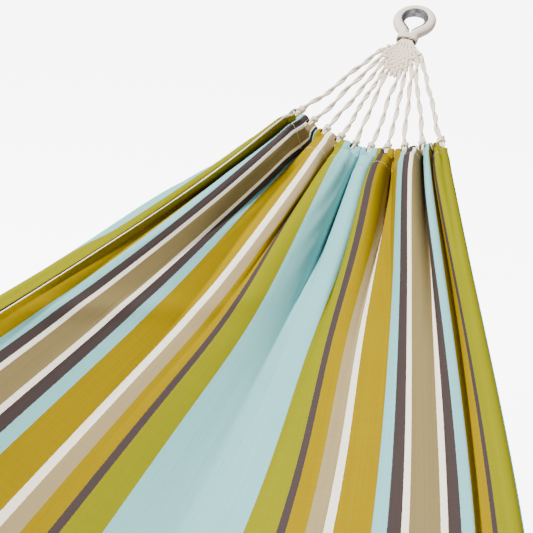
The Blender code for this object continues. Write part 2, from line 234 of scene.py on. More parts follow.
def make_piece(name, parts, finish):
    """One object from several skins, each given as its points, its four-sided faces and its map corners."""
    mesh = bpy.data.meshes.new(name)
    starts = np.cumsum([0] + [len(part[0]) for part in parts])
    points = np.concatenate([part[0] for part in parts])
    faces = np.concatenate([part[1] + start for part, start in zip(parts, starts)])
    corners = np.concatenate([part[2] for part in parts])
    mesh.vertices.add(len(points))
    mesh.vertices.foreach_set("co", points.astype(np.float32).ravel())
    mesh.loops.add(faces.size)
    mesh.loops.foreach_set("vertex_index", faces.astype(np.int32).ravel())
    mesh.polygons.add(len(faces))
    mesh.polygons.foreach_set("loop_start", np.arange(0, faces.size, 4, dtype=np.int32))
    mesh.polygons.foreach_set("loop_total", np.full(len(faces), 4, np.int32))
    mesh.update(calc_edges=True)
    mesh.uv_layers.new(name="UVMap").data.foreach_set("uv", corners.astype(np.float32).ravel())
    mesh.shade_smooth()
    mesh.materials.append(finish)
    made = bpy.data.objects.new(name, mesh)
    bpy.context.scene.collection.objects.link(made)
    return made


def steady_sides(path):
    """Each point's way ahead, and two directions square to it that turn no more than the path does."""
    ahead = unit(np.gradient(path, axis=0))
    side = np.empty_like(path)
    across = np.cross(ahead[0], OFF_FAN)
    if np.linalg.norm(across) < 0.1:
        across = np.cross(ahead[0], ACROSS)
    for i, way in enumerate(ahead):
        across = across - way * across.dot(way)
        across = across / np.linalg.norm(across)
        side[i] = across
    return ahead, side, np.cross(ahead, side)


def distance_along(path):
    return np.concatenate([[0], np.cumsum(np.linalg.norm(np.diff(path, axis=0), axis=1))])


def tube(path, radius, sides):
    """A round skin on a path. Its radius is one value, one for each point, or a row of them round each."""
    turn = 2 * math.pi * np.arange(sides) / sides
    side, up = steady_sides(path)[1:]
    ring = np.cos(turn)[:, None] * side[:, None] + np.sin(turn)[:, None] * up[:, None]
    radius = np.asarray(radius, float)
    radius = np.broadcast_to(radius if radius.ndim == 2 else radius.reshape(-1, 1), (len(path), sides))
    points = path[:, None] + ring * radius[..., None]
    faces = grid_faces(len(path), sides, True)
    run = distance_along(path)
    row, column = np.divmod(np.arange((len(path) - 1) * sides), sides)
    corners = np.stack([
        np.stack([run[row], column / sides], -1),
        np.stack([run[row], (column + 1) / sides], -1),
        np.stack([run[row + 1], (column + 1) / sides], -1),
        np.stack([run[row + 1], column / sides], -1),
    ], axis=1)
    return points.reshape(-1, 3), faces, corners.reshape(-1, 2)


def respaced(path, step):
    """The same path with its points one even step apart."""
    run = distance_along(path)
    count = max(4, int(round(run[-1] / step)) + 1)
    even = np.linspace(0, run[-1], count)
    return np.stack([np.interp(even, run, path[:, k]) for k in range(3)], axis=1)


def eye_path():
    """The teardrop's line, from one leg up over the top to the other, as metres down and across."""
    turn = np.linspace(0, EYE_ARC, 60)
    arc = np.stack([EYE_CENTRE - EYE_RADIUS * np.cos(turn), EYE_RADIUS * np.sin(turn)], axis=1)
    leave = np.array([math.sin(EYE_ARC), math.cos(EYE_ARC)])
    neck = np.array([NECK_START, LEG_OFFSET])
    reach = np.linalg.norm(neck - arc[-1])
    t = np.linspace(0, 1, 40)[1:, None]
    flank = (
        arc[-1] * (1 - t) ** 3
        + (arc[-1] + leave * reach * FLANK_HANDLE) * 3 * t * (1 - t) ** 2
        + (neck - [reach * FLANK_HANDLE, 0]) * 3 * t**2 * (1 - t)
        + neck * t**3
    )
    leg = np.array([[NECK_END, LEG_OFFSET]])
    half = np.concatenate([arc, flank, leg])
    whole = np.concatenate([half[:0:-1] * [1, -1], half])
    return harness_point(whole[:, 0], whole[:, 1])


served_finish = cotton("served rope", SERVED_ROPE, SERVING_PITCH, 1.0, depth=0.10, fuzz=0.10, relief=0.0003)
for end in ("head", "foot"):
    path = respaced(lie_at(end, eye_path()), SERVING_PITCH / 5)
    run = distance_along(path)[:, None]
    wound = np.abs(np.sin(math.pi * (run / SERVING_PITCH + np.arange(EYE_SIDES) / EYE_SIDES)))
    outward = path - lie_at(end, harness_point(EYE_CENTRE))
    plump = EYE_PLUMPNESS * smooth_step((NECK_START - 0.01 - np.linalg.norm(outward, axis=1)) / PLUMP_FADE)
    path = path + unit(outward) * plump[:, None]
    radius = EYE_ROPE_RADIUS + plump[:, None] - SERVING_RIDGE + SERVING_RIDGE * wound
    eye = make_piece(end + "_served_eye", [tube(path, radius, EYE_SIDES)], served_finish)
    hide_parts(end + "_eye_rope")
    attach(eye, "hangers")

# Thimbles: pressed galvanised steel channel, bent to a teardrop and sprung into the eye. The zinc is dull
# and cloudy, and the hook has rubbed it a little brighter and scratched it.
STEEL = (0.42, 0.42, 0.43, 1)
STEEL_DULL = (0.20, 0.20, 0.21, 1)
CLOUD_SIZE = 160.0
SCRATCH_STRETCH = (2600.0, 60.0, 700.0)
SMOOTHEST = 0.28
ROUGHEST = 0.52

steel = bpy.data.materials.new("galvanised steel")
steel.use_nodes = True
tree = steel.node_tree
shader = tree.nodes["Principled BSDF"]
place = put(tree, "ShaderNodeTexCoord").outputs["Object"]
cloud = put(tree, "ShaderNodeTexNoise", Vector=place, Scale=CLOUD_SIZE, Detail=4.0).outputs["Fac"]
scratched = put(tree, "ShaderNodeMapping", Vector=place, Scale=SCRATCH_STRETCH).outputs[0]
scratch = put(tree, "ShaderNodeTexNoise", Vector=scratched, Scale=1.0, Detail=2.0).outputs["Fac"]
ramp = put(tree, "ShaderNodeValToRGB", Fac=cloud)
ramp.color_ramp.elements[0].position = 0.35
ramp.color_ramp.elements[0].color = STEEL_DULL
ramp.color_ramp.elements[1].position = 0.68
ramp.color_ramp.elements[1].color = STEEL
tree.links.new(ramp.outputs[0], shader.inputs["Base Color"])
rough = put(tree, "ShaderNodeMapRange", Value=scratch, To_Min=SMOOTHEST, To_Max=ROUGHEST).outputs[0]
tree.links.new(rough, shader.inputs["Roughness"])
bump = put(tree, "ShaderNodeBump", Height=scratch, Distance=0.0001, Strength=0.4)
tree.links.new(bump.outputs[0], shader.inputs["Normal"])
shader.inputs["Metallic"].default_value = 1.0
for end in ("head", "foot"):
    for place_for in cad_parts[end + "_thimble"].material_slots:
        place_for.material = steel

# Whippings: where the eye's two legs meet, cotton twine is wound hard round both and its end is tucked
# under, which closes the eye. The turns lie side by side.
TWINE_RADIUS = 0.00105
WHIPPING_TURNS = 8
WHIPPING_STANDOFF = 0.0005
WHIPPING_STEPS = 72
TWINE = (0.86, 0.73, 0.59, 1)
END_TAPER = (0.02, 0.62, 0.9)


def rounded_ends(count, radius):
    """A strand's radius at each of its points, closed in at its ends."""
    radii = np.full(count, float(radius))
    radii[:3] *= END_TAPER
    radii[-3:] *= END_TAPER[::-1]
    return radii


twine_finish = cotton("whipping twine", TWINE, 0.0012, 3.0, depth=0.12, relief=0.0002)
for end in ("head", "foot"):
    turn = 2 * math.pi * np.arange(WHIPPING_TURNS * WHIPPING_STEPS + 1) / WHIPPING_STEPS
    for_legs = LEG_OFFSET * np.clip(np.cos(turn) * 3, -1, 1)
    reach = EYE_ROPE_RADIUS + TWINE_RADIUS + WHIPPING_STANDOFF
    down = np.linspace(NECK_START + TWINE_RADIUS, NECK_END - TWINE_RADIUS, len(turn))
    path = harness_point(down, for_legs + reach * np.cos(turn), reach * np.sin(turn))
    coil = tube(lie_at(end, path), rounded_ends(len(path), TWINE_RADIUS), 8)
    whipping = make_piece(end + "_twine_whipping", [coil], twine_finish)
    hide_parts(end + "_whipping")
    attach(whipping, "hangers")

# Hem line: the rope in each end hem bows out a little toward the hook at its middle, and the bed's trough
# is shallow there. The bed opens wide and deep between the two hems.
HEM_HALF_GIRTH = 0.19
MIDDLE_HALF_GIRTH = 0.52
HEM_EDGE_SLOPE = 0.26
MIDDLE_EDGE_SLOPE = 0.62
TROUGH_ROUNDNESS = 0.4
HEM_BOW = 0.03
MIDDLE_EASE = 0.02
GIRTH_STEPS = 24
HEM_RADIUS = 0.01736
HEM_CLEARANCE = 0.003
HEM_SHARE = 0.985


def trough(across, along):
    """The bed's even shape: across is -1 to 1 from edge to edge, along is metres from the head hem."""
    across, along = np.broadcast_arrays(np.asarray(across, float), np.asarray(along, float))
    middle = CLOTH_LENGTH / 2 - along
    x = CATENARY * np.arcsinh(middle / CATENARY) - HALF_SPAN
    z = np.hypot(CATENARY, middle) - CATENARY + BED_LOW
    far = np.abs(middle) / (CLOTH_LENGTH / 2)
    far_inside = np.minimum(np.sqrt((far**2 + MIDDLE_EASE) / (1 + MIDDLE_EASE)), 1)
    girth = HEM_HALF_GIRTH + (MIDDLE_HALF_GIRTH - HEM_HALF_GIRTH) * (1 - far_inside**1.4)
    edge_slope = HEM_EDGE_SLOPE + (MIDDLE_EDGE_SLOPE - HEM_EDGE_SLOPE) * (1 - far_inside**6)
    share = (np.arange(GIRTH_STEPS) + 0.5) / GIRTH_STEPS * np.abs(across)[..., None]
    slope = edge_slope[..., None] * share**TROUGH_ROUNDNESS
    y = girth * np.cos(slope).mean(-1) * across
    z = z + girth * np.sin(slope).mean(-1) * np.abs(across)
    bow = HEM_BOW * across**2 * far_inside**3
    return np.stack([x + np.sign(middle) * bow * UPHILL[0], y, z + bow * UPHILL[2]], axis=-1)


def hem_point(across):
    return trough(across, 0.0) + UPHILL * (HEM_RADIUS + HEM_CLEARANCE)


def hem_frame(across):
    """The hem rope's own directions: along it, up the harness, and off the bed's upper face."""
    run = unit(hem_point(across + 0.01) - hem_point(across - 0.01))
    uphill = unit(UPHILL - run * (run @ UPHILL)[..., None])
    return run, uphill, np.cross(uphill, run)


# Harness cords: ten doubled cotton cords at each end, laid from two strands. Each runs from the clew to a
# slot in the hem, turns round the hem rope, and carries its share of the load, so all are nearly straight.
CORD_COUNT = 10
CORD_SPREAD = 0.93
CORD_LAY = 0.105
CORD_OUTER = 0.0060
CORD_STEP = 0.0028
CORD_SAG = 0.006
CORD_WANDER = 0.00231
WANDER_LENGTHS = (0.11, 0.06, 0.033)
STEADY_AT_CLEW = 0.05
STEADY_AT_HEM = 0.055
CORD_TURN = math.radians(250)
CORD_TURN_PITCH = 0.0105
TURN_RADIUS = 0.00974
CLEW_START = 0.105
CLEW_LENGTH = 0.114
CLEW_SHOULDER = 0.046
SHOULDER_HALF_WIDTH = 0.055
TIP_HALF_WIDTH = 0.010
TUCK_IN_CLEW = 0.012
CORD_CREAM = (0.90, 0.76, 0.60, 1)

cord_finish = cotton("harness cord", CORD_CREAM, 0.0042, 3.0, depth=0.22, fuzz=0.16, drift=0.2)
wander = np.random.default_rng(7)
cord_shares = CORD_SPREAD * np.linspace(-1, 1, CORD_COUNT)


def eased(path, times):
    """A path with its corners softened by averaging each inner point with its neighbours."""
    path = path.copy()
    for _ in range(times):
        path[1:-1] = path[1:-1] / 2 + (path[:-2] + path[2:]) / 4
    return path


def laid_strands(path, radius, strands, lay, phase=0.0, sides=8):
    """Twisted strands that together make a cord of the given outer radius on a path."""
    side, up = steady_sides(path)[1:]
    share = 1 / (1 + 1 / math.sin(math.pi / strands))
    strand_radius = radius * share * 1.06
    offset = radius - strand_radius
    parts = []
    for k in range(strands):
        turn = 2 * math.pi * (distance_along(path) / lay + k / strands) + phase
        centre = path + offset * (np.cos(turn)[:, None] * side + np.sin(turn)[:, None] * up)
        parts.append(tube(centre, rounded_ends(len(path), strand_radius), sides))
    return parts


def clew_exit(share):
    """Where a cord leaves the clew's edge: the outer ones leave high, the inner ones near the tip."""
    reach = abs(share) / CORD_SPREAD
    down = CLEW_START + CLEW_LENGTH - (CLEW_LENGTH - CLEW_SHOULDER) * reach
    return down, math.copysign(TIP_HALF_WIDTH + (SHOULDER_HALF_WIDTH - TIP_HALF_WIDTH) * reach, share)


def cord_route(share):
    """The line of one cord: out of the clew, down to the hem, and round the hem rope."""
    start = harness_point(*clew_exit(share))
    centre = hem_point(share)
    run, uphill, off = hem_frame(np.asarray(share))
    landing = centre + off * TURN_RADIUS
    way = unit(landing - start)
    start = start - way * TUCK_IN_CLEW
    part = np.linspace(0, 1, 48)[:-1, None]
    line = start + (landing - start) * part - [0, 0, CORD_SAG] * np.sin(math.pi * part)
    turn = np.linspace(0, CORD_TURN, 26)[:, None]
    loop = centre + (off * np.cos(turn) - uphill * np.sin(turn)) * TURN_RADIUS
    loop = loop + run * CORD_TURN_PITCH * turn / (2 * math.pi)
    return np.concatenate([line, loop])


for end in ("head", "foot"):
    for number, share in enumerate(cord_shares, 1):
        path = respaced(eased(cord_route(share), 2), CORD_STEP)
        run = distance_along(path)
        free = smooth_step(run / STEADY_AT_CLEW) * smooth_step((run[-1] - STEADY_AT_HEM - run) / 0.06)
        for direction in (ACROSS, OFF_FAN):
            bends = wander.uniform(0.6, 1.5, 3) / WANDER_LENGTHS
            turns = wander.uniform(0, 2 * math.pi, 3)
            sway = sum(np.sin(run * b * 2 + t) / (k + 1) for k, (b, t) in enumerate(zip(bends, turns)))
            path = path + direction * (free * CORD_WANDER * sway)[:, None]
        path = lie_at(end, path)
        strands = laid_strands(path, CORD_OUTER, 2, CORD_LAY * wander.uniform(0.75, 1.3), share * 9)
        cord = make_piece(f"{end}_laid_cord_{number:02d}", strands, cord_finish)
        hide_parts(f"{end}_cord_{number:02d}")
        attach(cord, "hammock")

# Hitches: where each cord goes into its slot it is hitched round itself, and the hitch's short end is left.
HITCH_TURNS = 2.6
HITCH_PITCH = 0.0048
HITCH_CORD = 0.0025
HITCH_ROUND = 0.0068
HITCH_ABOVE = 0.064
TAIL_LENGTH = 0.020

for end in ("head", "foot"):
    hitches = []
    for number, share in enumerate(cord_shares, 1):
        path = respaced(eased(cord_route(share), 2), CORD_STEP)
        side, up = steady_sides(path)[1:]
        behind = distance_along(path)[-1] - distance_along(path)
        at = int(np.argmin(np.abs(behind - HITCH_ABOVE)))
        ahead = unit(path[at + 1] - path[at - 1])
        turn = np.linspace(0, 2 * math.pi * HITCH_TURNS, 60) + number * 2.1
        reach = HITCH_ROUND * (1 + 0.12 * np.sin(turn * 1.7 + number))
        coil = path[at] + ahead * (HITCH_PITCH * (turn - turn.mean()) / (2 * math.pi))[:, None]
        coil = coil + (np.cos(turn)[:, None] * side[at] + np.sin(turn)[:, None] * up[at]) * reach[:, None]
        leave = unit(coil[-1] - coil[-2]) + unit(coil[-1] - path[at]) * 0.8 + OFF_FAN * 0.4
        out = np.linspace(0, 1, 9)[1:, None] * TAIL_LENGTH * (0.6 + 0.5 * math.sin(number * 2.4) ** 2)
        tail = coil[-1] + unit(leave) * out - [0, 0, 1] * (out / TAIL_LENGTH) ** 2 * 0.005
        line = lie_at(end, eased(np.concatenate([coil, tail]), 2))
        hitches.append(tube(line, rounded_ends(len(line), HITCH_CORD), 8))
    hitch = make_piece(end + "_hitches", hitches, cord_finish)
    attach(hitch, "hammock")

# Clews: below the whipping the rope opens into doubled cords, and a weft cord is plaited over and under
# them in a triangle, so that the load spreads evenly. The cords leave the triangle's slanting edges.
CLEW_CORD_RADIUS = 0.0040
WEFT_RADIUS = 0.0037
CLEW_WAIST = 0.012
WAIST_HALF_WIDTH = 0.021
STUB_HALF_WIDTH = 0.012
WARP_LAYER = 0.0042
WEFT_LIFT = 0.0046
WARP_DIP = 0.0024
WEFT_TOP = 0.124
WEFT_PITCH = 0.0094
WEFT_ROWS = 11
INNER_WARP = 0.005
WARP_STEADY = 0.004
WEFT_OVERHANG = 0.0035
CLEW_STEP = 0.0018
CLEW_SIDES = 12

clew_finish = cotton("clew cord", CORD_CREAM, 0.0042, 3.0, depth=0.26, fuzz=0.16, drift=0.16)
warp_ends = [clew_exit(share) for share in cord_shares]
warp_ends[5:5] = [(CLEW_START + CLEW_LENGTH, -INNER_WARP), (CLEW_START + CLEW_LENGTH, INNER_WARP)]


def warp_across(ending, down):
    """How far to the side a warp cord lies at each distance down the clew."""
    exit_down, exit_across = ending
    waist_down = CLEW_START + CLEW_WAIST
    waist = exit_across / SHOULDER_HALF_WIDTH * WAIST_HALF_WIDTH
    stub = exit_across / SHOULDER_HALF_WIDTH * STUB_HALF_WIDTH
    downs = (NECK_START, CLEW_START, waist_down, exit_down)
    return np.interp(down, downs, (stub, stub, waist, exit_across))


def weft_off(row, across, down):
    """The weft's height in a row: over one warp and under the next, the other way round in the next row."""
    standing = [(warp_across(w, down), k) for k, w in enumerate(warp_ends) if w[0] > down - WARP_STEADY]
    places = np.array([a for a, _ in standing])
    heights = np.array([WEFT_LIFT * (-1) ** (k + row) for _, k in standing])
    where = np.interp(across, places, np.arange(len(places)))
    low = np.clip(np.floor(where).astype(int), 0, len(places) - 2)
    blend = (1 - np.cos(math.pi * (where - low))) / 2
    return heights[low] * (1 - blend) + heights[low + 1] * blend


for end in ("head", "foot"):
    skins = []
    for k, ending in enumerate(warp_ends):
        down = np.arange(NECK_END - 0.004, ending[0] + 0.010, 0.001)
        aside = warp_across(ending, down)
        layer = WARP_LAYER * (-1) ** k * (1 - smooth_step((down - CLEW_START - 0.004) / 0.03))
        rows = (down - WEFT_TOP) / WEFT_PITCH
        dip = -WARP_DIP * (-1) ** k * np.cos(math.pi * rows) * smooth_step((down - WEFT_TOP + 0.01) / 0.02)
        path = respaced(eased(harness_point(down, aside, layer + dip), 14), CLEW_STEP)
        skins.append(tube(lie_at(end, path), rounded_ends(len(path), CLEW_CORD_RADIUS), CLEW_SIDES))
    weft = []
    for row in range(WEFT_ROWS):
        down = WEFT_TOP + WEFT_PITCH * row
        standing = [warp_across(w, down) for w in warp_ends if w[0] > down - WARP_STEADY]
        if len(standing) < 2:
            break
        limit = max(standing) + WEFT_OVERHANG
        aside = np.linspace(-limit, limit, 60) * (-1) ** row
        lean = 0.5 * WEFT_PITCH * np.linspace(-0.5, 0.5, 60)
        weft.append(harness_point(down + lean, aside, weft_off(row, aside, down)))
    path = respaced(eased(np.concatenate(weft), 3), CLEW_STEP)
    skins.append(tube(lie_at(end, path), rounded_ends(len(path), WEFT_RADIUS), CLEW_SIDES))
    clew = make_piece(end + "_plaited_clew", skins, clew_finish)
    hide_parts(end + "_clew")
    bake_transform(clew)

# Hem ropes: a three-strand cotton rope lies in each end hem. The cords turn round it, and it spreads their
# pull over the cloth.
HEM_ROPE_RADIUS = 0.004
HEM_ROPE_LAY = 0.024
HEM_ROPE_CREAM = (0.70, 0.58, 0.44, 1)

hem_rope_finish = cotton("hem rope", HEM_ROPE_CREAM, 0.0036, 3.0)
for end in ("head", "foot"):
    path = respaced(hem_point(np.linspace(-HEM_SHARE, HEM_SHARE, 200)), 0.0024)
    strands = laid_strands(lie_at(end, path), HEM_ROPE_RADIUS, 3, HEM_ROPE_LAY, sides=7)
    hem_rope = make_piece(end + "_laid_hem_rope", strands, hem_rope_finish)
    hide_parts(end + "_hem_rope")
    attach(hem_rope, "hammock")

# Bed: one length of plain-woven striped cotton canvas, whose stripes turn back in order halfway from the
# middle to each edge. Each end is turned over the hem rope, sewn down and drawn together on it, so that the
# cloth runs off in soft folds. Stripes and folds are placed in metres of flat cloth from the middle.
CLOTH_WIDTH = 1.40
HALF_WIDTH = CLOTH_WIDTH / 2
STRIPES_TURN_BACK = HALF_WIDTH / 2
BLUE = (0.21, 0.47, 0.48, 1)
OLIVE = (0.205, 0.198, 0.006, 1)
THIN_BROWN = (0.058, 0.042, 0.040, 1)
BROWN = (0.052, 0.038, 0.036, 1)
YELLOW = (0.26, 0.175, 0.0005, 1)
TAN = (0.31, 0.235, 0.115, 1)
WIDE_TAN = (0.21, 0.157, 0.066, 1)
WHITE = (0.93, 0.84, 0.70, 1)
STRIPES = (
    (0.0, BLUE),
    (0.083, OLIVE),
    (0.128, THIN_BROWN),
    (0.140, YELLOW),
    (0.167, TAN),
    (0.192, WHITE),
    (0.206, YELLOW),
    (0.263, BLUE),
    (0.288, BROWN),
    (0.311, WHITE),
    (0.323, WIDE_TAN),
)
THREAD = 0.0017
WARP_STREAKS = (420, 2.2, 1)
WEFT_STREAKS = (3, 520, 1)
STRIPE_WOBBLE = 0.0014
EDGE_BAND = 0.60086 / HALF_WIDTH
LEFT_FOLD = (0.49721, 0.57232, 0.06459)
RIGHT_FOLD = (0.43562, 0.53476, 0.08712)
FOLD_DEPTH_HEM = 0.030
FOLD_DEPTH_MIDDLE = 0.017
PLEATS = 10.5
PLEAT_HEIGHT = 0.046
PLEAT_AT_HEM = 0.62
PLEAT_FADE = 0.27
PLEAT_PINCH = 1.05
PLEAT_UNEVENNESS = 0.30
DEEPER_PLEATS = 0.65
FLATTER_MIDDLE = 0.35
GATHERS = 6.5
GATHER_HEIGHT = 0.022
GATHER_FADE = 0.60
SWELLS = 3.5
SWELL_HEIGHT = 0.013
SWELL_FADE = 0.85
CURL_RUN_LEFT = 0.62
CURL_TURN = math.radians(470)
CURL_TIGHTENING = 0.22
LONG_CREASE_HEIGHT = 0.006
CREASES = 23
CREASE_HEIGHT = 0.0022
CREASE_FADE = 0.22
CENTRE_DRAW = 0.20
ROWS = 330
COLUMNS = 431
CASING_ROWS = 26
UNDER_ROWS = 6
CASING_FROM = 38
CASING_TO = 322
CASING_RADIUS = 0.0150
CASING_SWELL = 0.40
CASING_LEAD = 0.012
LAYER_GAP = 0.0022
SEAM_AT = 0.036
SEAM_DIP = 0.0022
SLOT_HALF_WIDTH = 0.0060
SLOT_FROM = 92
SLOT_TO = 160
TUCK_SHARE = 0.05

weave, given, result = new_group(
    "plain weave",
    [("Place", VECTOR, None), ("Thread", FLOAT, 0.0017), ("Streak", FLOAT, 0.12)],
    [("Shade", FLOAT), ("Height", FLOAT)],
)
placed = given["Place"]
count = put(weave, "ShaderNodeMath", {"operation": "DIVIDE"}, _0=math.pi, _1=given["Thread"]).outputs[0]
turns = put(weave, "ShaderNodeVectorMath", {"operation": "SCALE"}, _0=placed, Scale=count).outputs[0]
crossing = put(weave, "ShaderNodeSeparateXYZ", Vector=turns).outputs
warp = put(weave, "ShaderNodeMath", {"operation": "SINE"}, _0=crossing[0]).outputs[0]
weft = put(weave, "ShaderNodeMath", {"operation": "SINE"}, _0=crossing[1]).outputs[0]
over = put(weave, "ShaderNodeMath", {"operation": "MULTIPLY"}, _0=warp, _1=weft).outputs[0]
over = put(weave, "ShaderNodeMath", {"operation": "ABSOLUTE"}, _0=over).outputs[0]
streaks = []
for stretch in (WARP_STREAKS, WEFT_STREAKS):
    drawn = put(weave, "ShaderNodeVectorMath", {"operation": "MULTIPLY"}, _0=placed, _1=stretch).outputs[0]
    streaks.append(put(weave, "ShaderNodeTexNoise", Vector=drawn, Scale=1.0, Detail=2.0).outputs[0])
long_yarns, cross_yarns = streaks
yarns = put(weave, "ShaderNodeMath", {"operation": "MULTIPLY_ADD"}, _0=cross_yarns, _1=0.6, _2=long_yarns)
yarns = put(weave, "ShaderNodeMath", {"operation": "SUBTRACT"}, _0=yarns.outputs[0], _1=0.8).outputs[0]
streaked = put(
    weave, "ShaderNodeMath", {"operation": "MULTIPLY_ADD"}, _0=yarns, _1=given["Streak"], _2=0.93
).outputs[0]
# Painted light and shade: the colour is lighter on the crowns where the threads cross and darker in the
# gaps between them; the streaks are the yarns' own uneven tone.
shade = put(
    weave, "ShaderNodeMath", {"operation": "MULTIPLY_ADD"}, _0=over, _1=0.14, _2=streaked
).outputs[0]
weave.links.new(shade, result["Shade"])
weave.links.new(over, result["Height"])

striped = bpy.data.materials.new("striped canvas")
striped.use_nodes = True
tree = striped.node_tree
shader = tree.nodes["Principled BSDF"]
place = put(tree, "ShaderNodeUVMap").outputs[0]
wobble = put(tree, "ShaderNodeTexNoise", Vector=place, Scale=240.0, Detail=1.0).outputs["Fac"]
wobble = put(tree, "ShaderNodeMath", {"operation": "SUBTRACT"}, _0=wobble, _1=0.5).outputs[0]
aside = put(tree, "ShaderNodeSeparateXYZ", Vector=place).outputs[0]
aside = put(
    tree, "ShaderNodeMath", {"operation": "MULTIPLY_ADD"}, _0=wobble, _1=STRIPE_WOBBLE, _2=aside
).outputs[0]
aside = put(tree, "ShaderNodeMath", {"operation": "ABSOLUTE"}, _0=aside).outputs[0]
there = put(tree, "ShaderNodeMath", {"operation": "PINGPONG"}, _0=aside, _1=STRIPES_TURN_BACK).outputs[0]
there = put(tree, "ShaderNodeMath", {"operation": "DIVIDE"}, _0=there, _1=STRIPES_TURN_BACK).outputs[0]
ramp = put(tree, "ShaderNodeValToRGB", Fac=there)
ramp.color_ramp.interpolation = "CONSTANT"
ramp.color_ramp.elements.remove(ramp.color_ramp.elements[1])
ramp.color_ramp.elements[0].color = STRIPES[0][1]
for start, colour in STRIPES[1:]:
    ramp.color_ramp.elements.new(start / STRIPES_TURN_BACK).color = colour
woven = put(tree, "ShaderNodeGroup", {"node_tree": weave}, Place=place, Thread=THREAD, Streak=0.26).outputs
fuzzy = put(tree, "ShaderNodeGroup", {"node_tree": fibre}, Fuzz=0.12, Drift=0.10).outputs
both = put(
    tree, "ShaderNodeMath", {"operation": "MULTIPLY"}, _0=woven["Shade"], _1=fuzzy["Shade"]
).outputs[0]
dye_with_painted_shade = put(tree, "ShaderNodeVectorMath", {"operation": "SCALE"}, _0=ramp.outputs[0], Scale=both).outputs[0]
tree.links.new(dye_with_painted_shade, shader.inputs["Base Color"])
height = put(
    tree, "ShaderNodeMath", {"operation": "MULTIPLY_ADD"}, _0=fuzzy["Height"], _1=0.3, _2=woven["Height"]
).outputs[0]
bump = put(tree, "ShaderNodeBump", Height=height, Distance=0.0003, Strength=0.8)
tree.links.new(bump.outputs[0], shader.inputs["Normal"])
shader.inputs["Roughness"].default_value = 0.92
shader.inputs["Specular IOR Level"].default_value = 0.0


def hem_nearness(along):
    """Metres from the nearer hem."""
    return np.minimum(along, CLOTH_LENGTH - along)


def deep_fold(width):
    """How far into its side's deep fold a warp yarn lies, 0 to 1, and the share of cloth that it hides."""
    start, end, hides = (
        np.where(width > 0, left, right) / HALF_WIDTH for left, right in zip(LEFT_FOLD, RIGHT_FOLD)
    )
    return np.clip((np.abs(width) - start) / (end - start), 0, 1), hides


def drawn_across(width, along):
    """Where a warp yarn lies in the trough, -1 to 1: the deep fold near each edge swallows a band, and the
    cloth lies flatter in the middle of the bed than at its sides."""
    near = np.clip(hem_nearness(along) / (CLOTH_LENGTH / 2), 0, 1)
    in_fold, hides = deep_fold(width)
    shown = (np.abs(width) - in_fold * hides) / (1 - hides)
    crowd = np.where(width > 0, 0.97 - 0.12 * near, 0.78 + 0.19 * near)
    share = (shown - crowd * shown**3 / 3) / (1 - crowd / 3)
    middle = np.exp(-(((hem_nearness(along) - 0.47) / 0.20) ** 2))
    share = share * (1 - CENTRE_DRAW * middle * np.exp(-((share / 0.35) ** 2)))
    return np.sign(width) * share


def folds(turns, roundness=0.75):
    """Full round crests with narrow valleys between them, from 1 down to -1."""
    return 2 * np.abs(np.cos(math.pi * turns)) ** roundness - 1


def drift(width, along, seed):
    """A slow sideways wander of the folds along the bed, the same each time."""
    slow = np.sin(2.1 * along + 2.7 * width + seed)
    quick = np.sin(4.7 * along - 1.9 * width + seed * 2.3)
    return 0.5 * slow + 0.5 * quick


def pleats(width, along):
    """The tight folds drawn up on the hem rope: their height, and the count of them up to each yarn."""
    near = hem_nearness(along)
    uneven_width = 0.24 * np.sin(7.3 * width + 0.5) + 0.12 * np.sin(15.1 * width + 2.2)
    turns = PLEATS * (width + 1) / 2 + uneven_width + 0.10 * drift(width, along, 1.0)
    deeper = np.exp(-(((width + 0.42) / 0.28) ** 2))
    uneven = 1 + PLEAT_UNEVENNESS * np.sin(9.1 * width + 1.3) + DEEPER_PLEATS * deeper
    rise = PLEAT_AT_HEM + (1 - PLEAT_AT_HEM) * smooth_step(near / 0.06)
    return PLEAT_HEIGHT * uneven * folds(turns) * rise * np.exp(-((near / PLEAT_FADE) ** 1.3)), turns


def gathers(width, along):
    """The broader folds that the pleats run into."""
    near = hem_nearness(along)
    turns = GATHERS * (width + 1) / 2 + 0.16 * drift(width, along, 2.0) + 0.3
    fade = smooth_step(near / 0.12) * np.exp(-((near / GATHER_FADE) ** 2))
    return GATHER_HEIGHT * folds(turns, 0.9) * fade


def swells(width, along):
    """The slow waves across the whole bed, stronger toward its sides."""
    near = hem_nearness(along)
    turns = SWELLS * (width + 1) / 2 + 0.22 * drift(width, along, 3.7) + 0.1
    wave = np.cos(2 * math.pi * turns) * (0.35 + 0.65 * np.abs(width))
    fade = 0.25 + 0.75 * np.exp(-((near / SWELL_FADE) ** 4))
    return SWELL_HEIGHT * wave * smooth_step(near / 0.25) * fade


def creases(width, along):
    """One long slanting crease over the left part of the bed, and many short fine ones by the hems."""
    near = hem_nearness(along)
    beside = near - 0.42 - 0.55 * (width - 0.1)
    there = smooth_step((width - 0.05) / 0.2) * (1 - smooth_step((width - 0.55) / 0.2))
    long_crease = LONG_CREASE_HEIGHT * np.exp(-((beside / 0.035) ** 2)) * there
    turns = CREASES * width + 1.4 * drift(width * 3, along * 2, 0.7)
    uneven = np.sin(17.0 * width + 0.8) * np.sin(6.0 * along + 9.0 * width)
    return long_crease + CREASE_HEIGHT * uneven * np.sin(2 * math.pi * turns) * np.exp(-near / CREASE_FADE)


